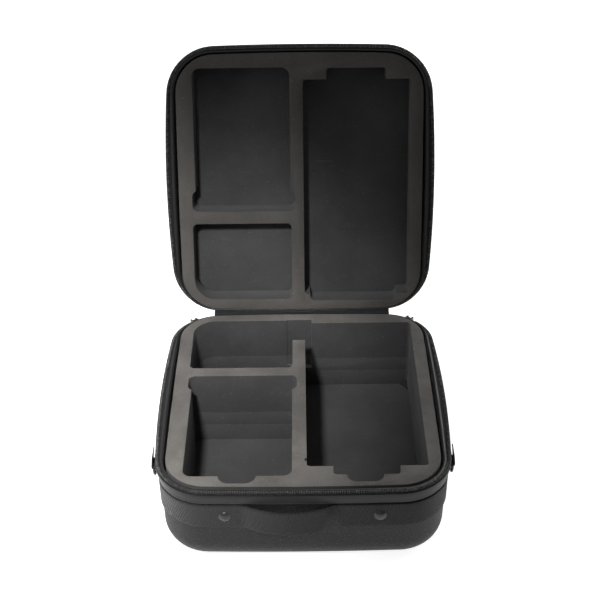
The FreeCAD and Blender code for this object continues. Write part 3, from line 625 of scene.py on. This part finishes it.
# the numbers are tone, roughness, depth of the weave in millimetres, and sheen
lining_cloth = cloth_material("lining_nylon", WEAVE, 0.012, 0.6, 0.06, 0.1)
tape_cloth = cloth_material("zip_tape_weave", WEAVE, 0.012, 0.75, 0.15, 0.15)
facing_cloth = cloth_material("facing_nylon", WEAVE, 0.009, 0.5, 0.04, 0.1)
webbing = cloth_material("ribbed_webbing", TWILL, 0.021, 0.7, 0.35, 0.25)
piping_cloth = cloth_material("piping_nylon", WEAVE, 0.010, 0.42, 0.05, 0.1)
skin = skin_material()
coil_nylon = metal_material("coil_nylon", tone=0.045, rough=0.26)
black_metal = metal_material("black_metal", tone=0.034, rough=0.26)
print("materials:", len(bpy.data.materials))

# %% [markdown]
# ## Foam
# The real inserts are stacked sheets of closed-cell foam with the pockets punched through
# them, and a plain pad closes each pocket's bottom. So each sheet is a closed block with the
# outline of the case, and every pocket is cut out of it by Boolean with rounded boxes. The
# punched edges are then broken a little and pushed about by a slow noise, because a cut
# edge in foam is never quite straight. A cloth simulation would suit a soft cushion better
# than this stiff foam.

# %% Pocket plans
BASE_POCKETS = {
    # left, right, back and front edge from the hinge line, corner radius
    "large": [(3.2, 112.5, 20.0, 243.7, 3.0), (27.0, 87.0, 200.0, 255.0, 3.5),
              (39.0, 72.0, 210.0, 264.5, 9.0), (1.4, 20.0, 232.5, 236.5, 0.9)],
    "medium": [(-107.7, -10.1, 109.5, 255.8, 8.0), (-111.5, -5.4, 109.5, 131.0, 6.0),
               (-76.0, -42.0, 200.0, 265.5, 10.0)],
    "small": [(-111.7, -60.0, 15.0, 96.4, 22.0), (-90.0, -9.7, 15.0, 96.4, 5.0),
              (-111.7, -9.7, 60.0, 96.4, 5.0)],
}
LID_POCKETS = {
    "large": [(3.2, 112.5, 20.0, 243.7, 3.0), (27.0, 87.0, 200.0, 255.0, 3.5),
              (9.0, 100.0, 12.8, 60.0, 5.0)],
    "medium": [(-107.7, -10.1, 109.5, 255.8, 8.0), (-111.5, -5.4, 109.5, 131.0, 6.0)],
    "small": BASE_POCKETS["small"],
}
DIVIDER_NOTCH = (-16.0, 10.0, 14.0, 49.7, 1.0)
DIVIDER_DROP = 58.0
print("pockets:", len(BASE_POCKETS), "in the base,", len(LID_POCKETS), "in the lid")


# %% Punching
def cutter(rect, low, high, half):
    """A box with rounded upright edges, between two levels from the meeting plane."""
    left, right, back, front, radius = rect
    side = -1 if half == "base" else 1
    place = ((left + right) / 2 * MM, HINGE.y - (back + front) / 2 * MM,
             HINGE.z + side * (low + high) / 2 * MM)
    bpy.ops.object.select_all(action="DESELECT")
    bpy.ops.mesh.primitive_cube_add(size=1, location=place)
    tool = bpy.context.object
    tool.scale = ((right - left) * MM, (front - back) * MM, abs(high - low) * MM)
    bpy.ops.object.transform_apply(location=True, rotation=True, scale=True)
    pick_edges(tool, lambda a, b: abs(a.z - b.z) > 1e-6)
    bpy.ops.object.mode_set(mode="EDIT")
    bpy.ops.mesh.bevel(offset=radius * MM, segments=max(5, round(radius * 0.9)))
    bpy.ops.object.mode_set(mode="OBJECT")
    return tool


def punch(piece, rects, low, high, half):
    """Cuts each rounded rectangle out of a foam sheet."""
    for rect in rects:
        tool = cutter(rect, low, high, half)
        only(piece)
        hole = piece.modifiers.new("hole", "BOOLEAN")
        hole.operation = "DIFFERENCE"
        hole.solver = "EXACT"
        hole.object = tool
        bpy.ops.object.modifier_apply(modifier="hole")
        bpy.data.objects.remove(tool)


print("punches ready")

# %% Foam sheets
def foam_rows(top, bottom, deepest, radius):
    """Rows of a foam sheet between two levels of a block whose far edge is rounded."""
    centre = deepest - radius
    levels = [level for level in (top, centre) if top <= level <= bottom]
    levels += [centre + radius * s for s in (0.3, 0.55, 0.75, 0.88, 0.95)
               if top < centre + radius * s < bottom]
    levels = sorted(set(levels + [top, bottom]))
    rows = []
    for level in levels:
        past = min(max(level - centre, 0.0), radius)
        inset = radius - math.sqrt(radius * radius - past * past)
        rows.append(("foam", "foam", 0.0, -level * DRAFT - inset, level))
    return rows


EDGE_BREAK = 0.35
WAVER = 0.5
WAVER_SIZES = (("X", 0.030), ("Y", 0.023))


def uneven(piece):
    """Pushes the cut edges about sideways, by two slow noises."""
    only(piece)
    for direction, size in WAVER_SIZES:
        cloud = bpy.data.textures.new(piece.name + direction, "CLOUDS")
        cloud.noise_scale = size
        push = piece.modifiers.new("push", "DISPLACE")
        push.texture = cloud
        push.direction = direction
        push.mid_level = 0.5
        push.strength = WAVER * MM
        bpy.ops.object.modifier_apply(modifier="push")


def foam_sheet(name, levels, deepest, radius, half, pockets, notch=None):
    """One punched sheet of foam between two levels."""
    top, bottom = levels
    piece = wrap(name, foam_rows(top, bottom, deepest, radius), half, steps=260, closed=True)
    edit_all(lambda: bpy.ops.mesh.fill_holes(sides=0), outward)
    through = (top - 5.0, bottom + 5.0)
    for rects in pockets.values():
        punch(piece, rects, *through, half)
    if notch:
        punch(piece, [DIVIDER_NOTCH], -5.0, notch, half)
    soften(piece, EDGE_BREAK)
    uneven(piece)
    return piece


def sort_foam(piece, half):
    """Skin on the level faces, cut wall on the upright ones."""
    # the lid gets the darker copy of the foam skin, as painted shade
    cover(piece, foam_face if half == "base" else foam_lid_painted_shade, foam_wall)
    for face in piece.data.polygons:
        face.material_index = 0 if abs(face.normal.z) > 0.5 else 1


FOAM_EDGE, LID_FOAM_EDGE = 21.0, 17.0
BASE_DEEP, LID_DEEP = 86.0, 40.0
FOAM_SHEETS = [
    ("foam_upper", "base_foam_upper", (0.2, 46.0), "base", BASE_POCKETS, DIVIDER_DROP),
    ("foam_middle", "base_foam_middle", (46.0, 62.0), "base", BASE_POCKETS, DIVIDER_DROP),
    ("foam_lower", "base_foam_lower", (62.0, 81.0), "base", BASE_POCKETS, None),
    ("foam_base_pad", "base_foam_floor", (81.0, 86.0), "base", {}, None),
    ("foam_lid_frame", "lid_foam_frame", (0.2, 33.0), "lid", LID_POCKETS, None),
    ("foam_lid_pad", "lid_foam_backing", (33.0, 40.0), "lid", {}, None),
]
for name, node, levels, half, pockets, notch in FOAM_SHEETS:
    deep, edge = (BASE_DEEP, FOAM_EDGE) if half == "base" else (LID_DEEP, LID_FOAM_EDGE)
    sheet = foam_sheet(name, levels, deep, edge, half, pockets, notch)
    if pockets:
        sort_foam(sheet, half)
    else:
        # the pads that make the pocket floors get the darker copy: painted shade
        cover(sheet, foam_floor)
    finish(sheet, half, None, "foam", node)

# %% [markdown]
# ## Shells and fittings
# The two moulded shells and the metal fittings are right as packed, so their shapes stay, and
# they only get their finish: pebbled skin on the shells, worn black paint on the metal.

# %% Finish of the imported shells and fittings
for node in ("base_shell", "lid_shell"):
    cover(frame["nodes"][node], skin)
for node in ("handle_rivets", "d_ring_left", "d_ring_right", "zip_slider_left",
             "zip_slider_right", "pull_tab_left", "pull_tab_right"):
    cover(frame["nodes"][node], black_metal)
print("packed nodes dressed")

# %% [markdown]
# ## Lining, piping and zip
# A thin cloth lines each shell. Over the edge of shell and lining runs a rolled piping, and
# outside it the zip tape is sewn on, with the coil on its outer edge and a smooth nylon
# facing under it. All of these are strips that go round the case, so they share one way of
# making them. The coil is one tooth, repeated at an even pitch along the edge.

# %% Linings
LINING_THICK = 0.25
LINING_TOP = 2.6
LINING_GROW = 0.15
UNDER_FLOOR = 30.0


def tub_rows(deepest, radius):
    """Rows of a cloth tub: down the wall, round the bottom edge and in under the floor."""
    centre = deepest - radius
    rows = [(level, 0.0) for level in np.linspace(LINING_TOP, centre, 5)]
    for degrees in (20, 40, 60, 75, 90):
        a = math.radians(degrees)
        rows.append((centre + radius * math.sin(a), radius * (1 - math.cos(a))))
    rows.append((deepest, radius + UNDER_FLOOR))
    return [("lining", "lining", 0.0, LINING_GROW - level * DRAFT - inset, level)
            for level, inset in rows]


def close_floor(piece):
    """Fills the hole that is left in the middle of a tub's floor."""
    bpy.ops.object.mode_set(mode="EDIT")
    bpy.ops.mesh.select_mode(type="EDGE")
    bpy.ops.mesh.select_all(action="DESELECT")
    bpy.ops.mesh.select_non_manifold()
    bpy.ops.object.mode_set(mode="OBJECT")
    for edge in piece.data.edges:
        level = abs(piece.data.vertices[edge.vertices[0]].co.z - HINGE.z) / MM
        edge.select = edge.select and level > 2 * LINING_TOP
    bpy.ops.object.mode_set(mode="EDIT")
    bpy.ops.mesh.edge_face_add()
    bpy.ops.object.mode_set(mode="OBJECT")


LINING_EDGE = {"base": (85.9, 21.0), "lid": (39.9, 17.0)}
for half, (deepest, radius) in LINING_EDGE.items():
    piece = wrap(half + "_lining_cloth", tub_rows(deepest, radius), half, steps=240, closed=True)
    close_floor(piece)
    solid(piece, LINING_THICK)
    bpy.ops.object.shade_smooth_by_angle(angle=math.radians(40))
    finish(piece, half, lining_cloth, "lining", half + "_lining")

# %% Piping over the shell's edge
PIPING_ROWS = [("lining", "shell", share, 0.0, level) for share, level in (
    (0.0, 2.45), (0.02, 1.9), (0.14, 1.35), (0.34, 1.1), (0.55, 1.1), (0.78, 1.4),
    (0.94, 1.9), (1.0, 2.45), (0.5, 2.5), (0.0, 2.45))]
for half in ("base", "lid"):
    piece = wrap(half + "_piping", PIPING_ROWS, half, steps=720, closed=True)
    edit_all(outward)
    bpy.ops.object.shade_smooth_by_angle(angle=math.radians(60))
    finish(piece, half, piping_cloth, "trim_fabric", half + "_rim_binding")

# %% Zip tape and facing
CLOTH_THICK = 0.6
TAPE_ROWS = [("shell", "zip", share, 0.0, level) for share, level in (
    (0.04, 2.75), (0.3, 2.7), (0.6, 2.75), (0.8, 2.9), (0.97, 3.1))]
FACING_ROWS = [
    ("shell", "zip", 0.97, 0.0, 3.7), ("shell", "zip", 0.96, 0.0, 5.2),
    ("shell", "zip", 0.86, 0.0, 7.6), ("shell", "zip", 0.66, 0.0, 10.0),
    ("shell", "zip", 0.42, 0.1, 12.2), ("shell", "zip", 0.2, 0.45, 13.6),
    ("shell", "zip", 0.05, 0.6, 14.6), ("shell", "zip", 0.0, 0.15, 15.0),
]
for half in ("base", "lid"):
    for label, rows, cloth in (("tape", TAPE_ROWS, tape_cloth),
                               ("facing", FACING_ROWS, facing_cloth)):
        piece = wrap(half + "_zip_" + label + "_cloth", rows, half, ZIP_SPAN, steps=520)
        solid(piece, CLOTH_THICK)
        bpy.ops.object.shade_smooth_by_angle(angle=math.radians(50))
        finish(piece, half, cloth, "trim_fabric", half + "_zip_" + label)

# %% Zip coil
TOOTH_PITCH = 1.5
TOOTH_LENGTH = 0.8
TOOTH_ACROSS = 3.0
TOOTH_TALL = 2.1
TOOTH_BEVEL = 0.3
TOOTH_LEVEL = 1.45
COIL_INSET = 1.75
COIL_STEPS = 900
COIL_START = float(round_trip[np.argmax(zip_line[:, 1] < HINGE.y - 14 * MM)])


def coil_path(half):
    """The line through the middle of the teeth, as a curve."""
    rows = [("zip", "zip", 0.0, grow, TOOTH_LEVEL) for grow in (-COIL_INSET, COIL_INSET)]
    line = wrap("coil_line", rows, half, (COIL_START, 1 - COIL_START), steps=COIL_STEPS)
    inner = coordinates(line)[:COIL_STEPS + 1].copy()
    bpy.ops.object.mode_set(mode="EDIT")
    bpy.ops.mesh.select_mode(type="VERT")
    bpy.ops.mesh.select_all(action="DESELECT")
    bpy.ops.object.mode_set(mode="OBJECT")
    for vertex in line.data.vertices:
        vertex.select = vertex.index > COIL_STEPS
    bpy.ops.object.mode_set(mode="EDIT")
    bpy.ops.mesh.delete(type="VERT")
    bpy.ops.object.mode_set(mode="OBJECT")
    bpy.ops.object.convert(target="CURVE")
    line = bpy.context.object
    line.data.dimensions = "3D"
    line.data.twist_mode = "Z_UP"
    return line, float(np.linalg.norm(np.diff(inner, axis=0), axis=1).sum())


for half in ("base", "lid"):
    line, length = coil_path(half)
    bpy.ops.object.select_all(action="DESELECT")
    bpy.ops.mesh.primitive_cube_add(size=1, location=(TOOTH_PITCH * MM, 0, 0))
    teeth = bpy.context.object
    teeth.name = half + "_zip_coil"
    teeth.data.name = teeth.name
    teeth.scale = (TOOTH_LENGTH * MM, TOOTH_ACROSS * MM, TOOTH_TALL * MM)
    bpy.ops.object.transform_apply(location=True, rotation=True, scale=True)
    edit_all(lambda: bpy.ops.mesh.bevel(offset=TOOTH_BEVEL * MM, segments=1))
    repeat = teeth.modifiers.new("repeat", "ARRAY")
    repeat.use_relative_offset = False
    repeat.use_constant_offset = True
    repeat.constant_offset_displace = (TOOTH_PITCH * MM, 0, 0)
    repeat.count = int(length / (TOOTH_PITCH * MM)) - 2
    bpy.ops.object.modifier_apply(modifier="repeat")
    follow = teeth.modifiers.new("follow", "CURVE")
    follow.object = line
    bpy.ops.object.modifier_apply(modifier="follow")
    bpy.data.objects.remove(line)
    edit_all(outward)
    bpy.ops.object.shade_smooth_by_angle(angle=math.radians(60))
    finish(teeth, half, coil_nylon, "zip_coil", half + "_zip_teeth")

# %% [markdown]
# ## Fabric hinge
# The two halves are joined by one strip of cloth along the back. It is a single piece from
# the wall of the base over the fold to the wall of the lid, laid as the lid stands open. Two
# strips that overlap would be easier, but they would slide past each other as the lid moves.

# %% Spine strip
DRAFT_FROM = 2.5
SPINE_OUT = 0.55
SPINE_HALF = 92.0
SPINE_LEVELS = (24.0, 20.0, 15.0, 10.0, 6.0, 3.0, 1.4)
SPINE_STEPS = 60


def spine_row(level, side):
    """One long edge of the strip, outside the back wall at a level of the base or lid."""
    x = np.linspace(-SPINE_HALF, SPINE_HALF, SPINE_STEPS + 1)
    out = SPINE_OUT + max(level - DRAFT_FROM, 0.0) * DRAFT
    bow = x * x / (2 * END_BOW)
    y = np.full(len(x), HINGE.y / MM - out) - bow
    points = np.column_stack([x, y, np.full(len(x), HINGE.z / MM + side * level)]) * MM
    if side < 0:
        return points
    return np.array([OPENING @ Vector(point) for point in points])


fold = np.column_stack([np.linspace(-SPINE_HALF, SPINE_HALF, SPINE_STEPS + 1) * MM,
                        np.full(SPINE_STEPS + 1, HINGE.y), np.full(SPINE_STEPS + 1, HINGE.z)])
spine_points = [spine_row(level, -1) for level in SPINE_LEVELS] + [fold]
spine_points += [spine_row(level, 1) for level in reversed(SPINE_LEVELS)]
spine, column, row = flat_strip("spine_cloth", SPINE_STEPS, len(spine_points))
lay(spine, column, row, np.array(spine_points))
solid(spine, CLOTH_THICK)
bpy.ops.object.shade_smooth_by_angle(angle=math.radians(60))
cover(spine, tape_cloth)
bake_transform(spine)
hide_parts("base_spine_leaf", "lid_spine_leaf", "hinge_cord")
print("spine strip", len(spine.data.polygons), "faces")

# %% [markdown]
# ## Webbing strap and handle
# One webbing strap goes round the front and sides of the base. Two rivets hold it, and the
# slack between them is the handle. It is made as two strips that meet in the middle of the
# slack. Rows run along the strap so the ribs of the weave follow it into the loop.

# %% Strap strips
STRAP_LEVELS = np.linspace(43.0, 17.0, 9)
STRAP_THICK = 1.5
WEBBING_EDGE = 0.3
STRAP_END = 46.0
LOOP_MIDDLE, LOOP_SPAN, LOOP_RISE, FLARE = -12.0, 45.0, 9.0, 20.0
CROWN = (LOOP_SPAN ** 2 + LOOP_RISE ** 2) / (2 * LOOP_RISE) - FLARE
FLARE_END = LOOP_SPAN * CROWN / (CROWN + FLARE)
KINK_AT, KINK_WIDE, KINK_LIFT, KINK_BULGE = 25.0, 6.0, 7.0, 2.0
SLACK_LEAN, SLACK_DROP = 0.8, 0.8
RIPPLE, RIPPLE_X, RIPPLE_Y, RIPPLE_DOWN = 0.25, 0.11, 0.07, 2.2
STRAP_OFF = 0.1
STRAP_STEPS = 330
FRONT_Y, FRONT_X = -100.0, 110.0


def reach(x):
    """How far the slack strap stands off the shell, in millimetres."""
    d = abs(x - LOOP_MIDDLE)
    if d >= LOOP_SPAN:
        return 0.0
    if d > FLARE_END:
        return FLARE - math.sqrt(FLARE ** 2 - (LOOP_SPAN - d) ** 2)
    return LOOP_RISE - CROWN + math.sqrt(CROWN ** 2 - d * d)


def strap_points(side):
    """Rows of points from the end of the strap to the middle of the loop."""
    shares = np.linspace(0, 1, 3001)
    line = ring("shell", shares) / MM
    keep = (line[:, 1] < HINGE.y / MM - STRAP_END)
    keep &= (line[:, 0] < LOOP_MIDDLE) if side < 0 else (line[:, 0] > LOOP_MIDDLE)
    shares = shares[keep]
    steps = np.linspace(shares[0], shares[-1], STRAP_STEPS)
    base = ring("shell", steps) / MM
    out = ring("shell", steps, 1.0) / MM - base
    rows = []
    for level in STRAP_LEVELS:
        share = (level - STRAP_LEVELS[-1]) / (STRAP_LEVELS[0] - STRAP_LEVELS[-1])
        row = []
        for (x, y), normal in zip(base, out):
            front = y < FRONT_Y and abs(x) < FRONT_X
            off = reach(x) if front else 0.0
            slack = off / LOOP_RISE
            kink = math.exp(-((x - KINK_AT) / KINK_WIDE) ** 2) if front else 0.0
            ripple = RIPPLE * math.sin(RIPPLE_X * x + RIPPLE_Y * y + RIPPLE_DOWN * share)
            stand = STRAP_THICK / 2 + STRAP_OFF - (level - DRAFT_FROM) * DRAFT + off
            stand += slack * SLACK_LEAN * share + kink * KINK_BULGE * math.sin(math.pi * share)
            stand += ripple * min(slack * 2, 1.0)
            drop = slack * SLACK_DROP - kink * KINK_LIFT * share
            row.append((x + normal[0] * stand, y + normal[1] * stand,
                        HINGE.z / MM - level - drop))
        rows.append(row)
    return np.array(rows) * MM


WEBBING = [
    ("webbing_left", -1, ("body_strap_left", "handle_root_left", "handle_grip")),
    ("webbing_right", 1, ("body_strap_right", "handle_root_right")),
]
for name, side, nodes in WEBBING:
    points = strap_points(side)
    strip, column, row = flat_strip(name, points.shape[1] - 1, points.shape[0])
    lay(strip, column, row, points)
    edit_all(outward)
    solid(strip, STRAP_THICK)
    soften(strip, WEBBING_EDGE, 2, 60)
    cover(strip, webbing)
    if side < 0:
        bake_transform(strip)
    else:
        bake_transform(strip)
    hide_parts(*nodes)
    print(name, len(strip.data.polygons), "faces")

# %% [markdown]
# ## Side tabs
# Each ring hangs in a short tab of the same webbing, sewn under the facing, folded round the
# ring's bar and sewn to itself. The fold is one strip that follows the tab's side view.

# %% Tabs
# distance from the middle of the case and height above the floor, along the folded webbing
TAB_VIEW = [(137.3, 84.3), (137.9, 81.5), (138.2, 78.5), (138.5, 75.0), (138.9, 72.4),
            (138.8, 70.1), (137.7, 68.7), (136.3, 68.5), (134.9, 69.2), (134.2, 70.8),
            (134.0, 73.0), (134.6, 75.5), (135.0, 78.0)]
TAB_LOW, TAB_HIGH = -80.4, -65.6
TAB_COLUMNS = 8
TAB_THICK = 1.1
for name, side in (("left", -1), ("right", 1)):
    view = np.array(TAB_VIEW)
    spread = np.linspace(TAB_LOW, TAB_HIGH, TAB_COLUMNS + 1)
    points = np.array([[(side * x, y, z) for x, z in view] for y in spread]) * MM
    tab, column, row = flat_strip("tab_webbing_" + name, len(view) - 1, TAB_COLUMNS + 1)
    lay(tab, column, row, points)
    only(tab)
    smooth = tab.modifiers.new("smooth", "SUBSURF")
    smooth.levels = smooth.render_levels = 2
    bpy.ops.object.modifier_apply(modifier="smooth")
    solid(tab, TAB_THICK)
    soften(tab, WEBBING_EDGE, 2, 60)
    finish(tab, "base", webbing, "webbing", "side_tab_" + name)
